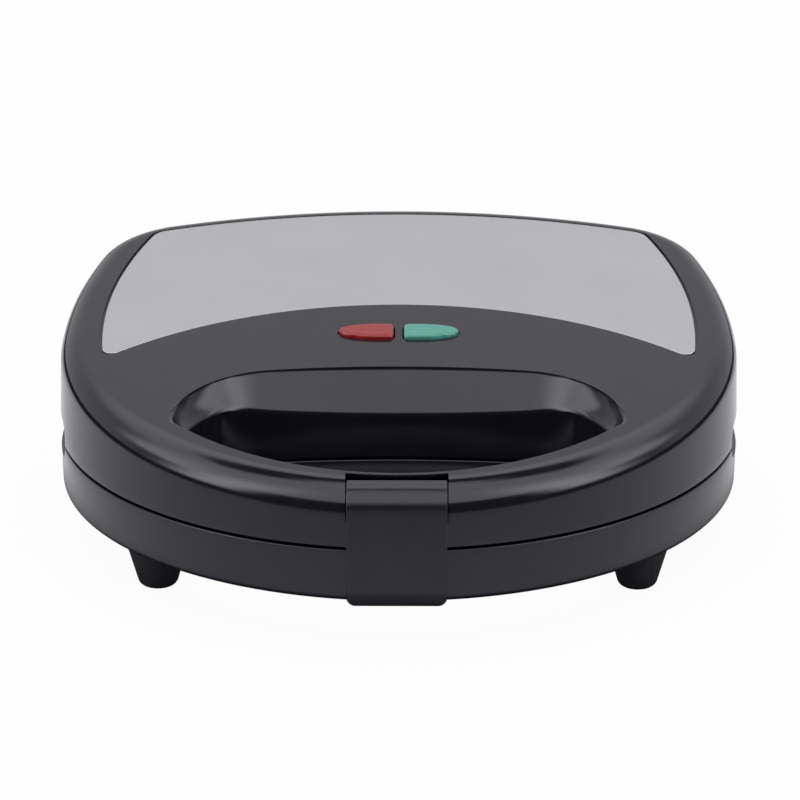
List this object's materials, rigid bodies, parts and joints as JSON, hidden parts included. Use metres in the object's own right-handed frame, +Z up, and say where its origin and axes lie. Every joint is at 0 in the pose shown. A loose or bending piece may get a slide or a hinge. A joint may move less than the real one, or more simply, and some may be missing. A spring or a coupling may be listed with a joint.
{
  "type": "sandwich maker",
  "caption": "Closed clamshell sandwich maker: round-fronted black shells with a steel-topped lid, hand opening, front latch, pilot lamps and triangular-pocket plates.",
  "frame": {"origin": "on the worktop, under the middle of the closed appliance's bounding box", "axes": "+X to the user's right, +Y from the latch to the hinges, +Z up"},
  "size_m": [0.2358, 0.2326, 0.0802],
  "materials": {
    "shell_black": "glossy black moulded plastic",
    "steel": "satin sheet",
    "red_lens": "translucent red, ribbed inside",
    "green_lens": "translucent green, ribbed inside",
    "plate_coat": "black non-stick coating on die-cast metal",
    "heater_sheath": "heat-tinted",
    "reflector_sheet": "bright sheet",
    "rubber_black": "matte",
    "pin_steel": "plated",
    "lamp_glass": "clear",
    "holder_plastic": "natural nylon",
    "thermostat_case": "phenolic",
    "fuse_case": "plated"
  },
  "bodies": {
    "base": {"base_shell": "shell_black", "foot_front_left": "rubber_black", "foot_front_right": "rubber_black", "foot_rear_left": "rubber_black", "foot_rear_right": "rubber_black", "lower_cooking_plate": "plate_coat", "lower_heater": "heater_sheath", "lower_reflector": "reflector_sheet", "base_screws": "pin_steel", "terminal_block": "holder_plastic", "cord_gland": "rubber_black", "hinge_pin_left": "pin_steel", "hinge_pin_right": "pin_steel"},
    "lid": {"lid_shell": "shell_black", "steel_top_plate": "steel", "red_lens": "red_lens", "green_lens": "green_lens", "lamp_holder": "holder_plastic", "red_neon_lamp": "lamp_glass", "green_neon_lamp": "lamp_glass", "upper_cooking_plate": "plate_coat", "upper_heater": "heater_sheath", "upper_reflector": "reflector_sheet", "lid_screws": "pin_steel", "thermostat": "thermostat_case", "thermal_fuse": "fuse_case", "latch_pin": "pin_steel"},
    "latch": {"latch": "shell_black"}
  },
  "joints": [
    {"name": "lid_hinge", "type": "hinge", "parent": "base", "child": "lid", "pos_m": [0, 0.1115, 0.0342], "axis": [-1, 0, 0], "range_deg": [0, 105]},
    {"name": "latch_swing", "type": "hinge", "parent": "lid", "child": "latch", "pos_m": [0, -0.1081, 0.0505], "axis": [-1, 0, 0], "range_deg": [0, 30]}
  ]
}
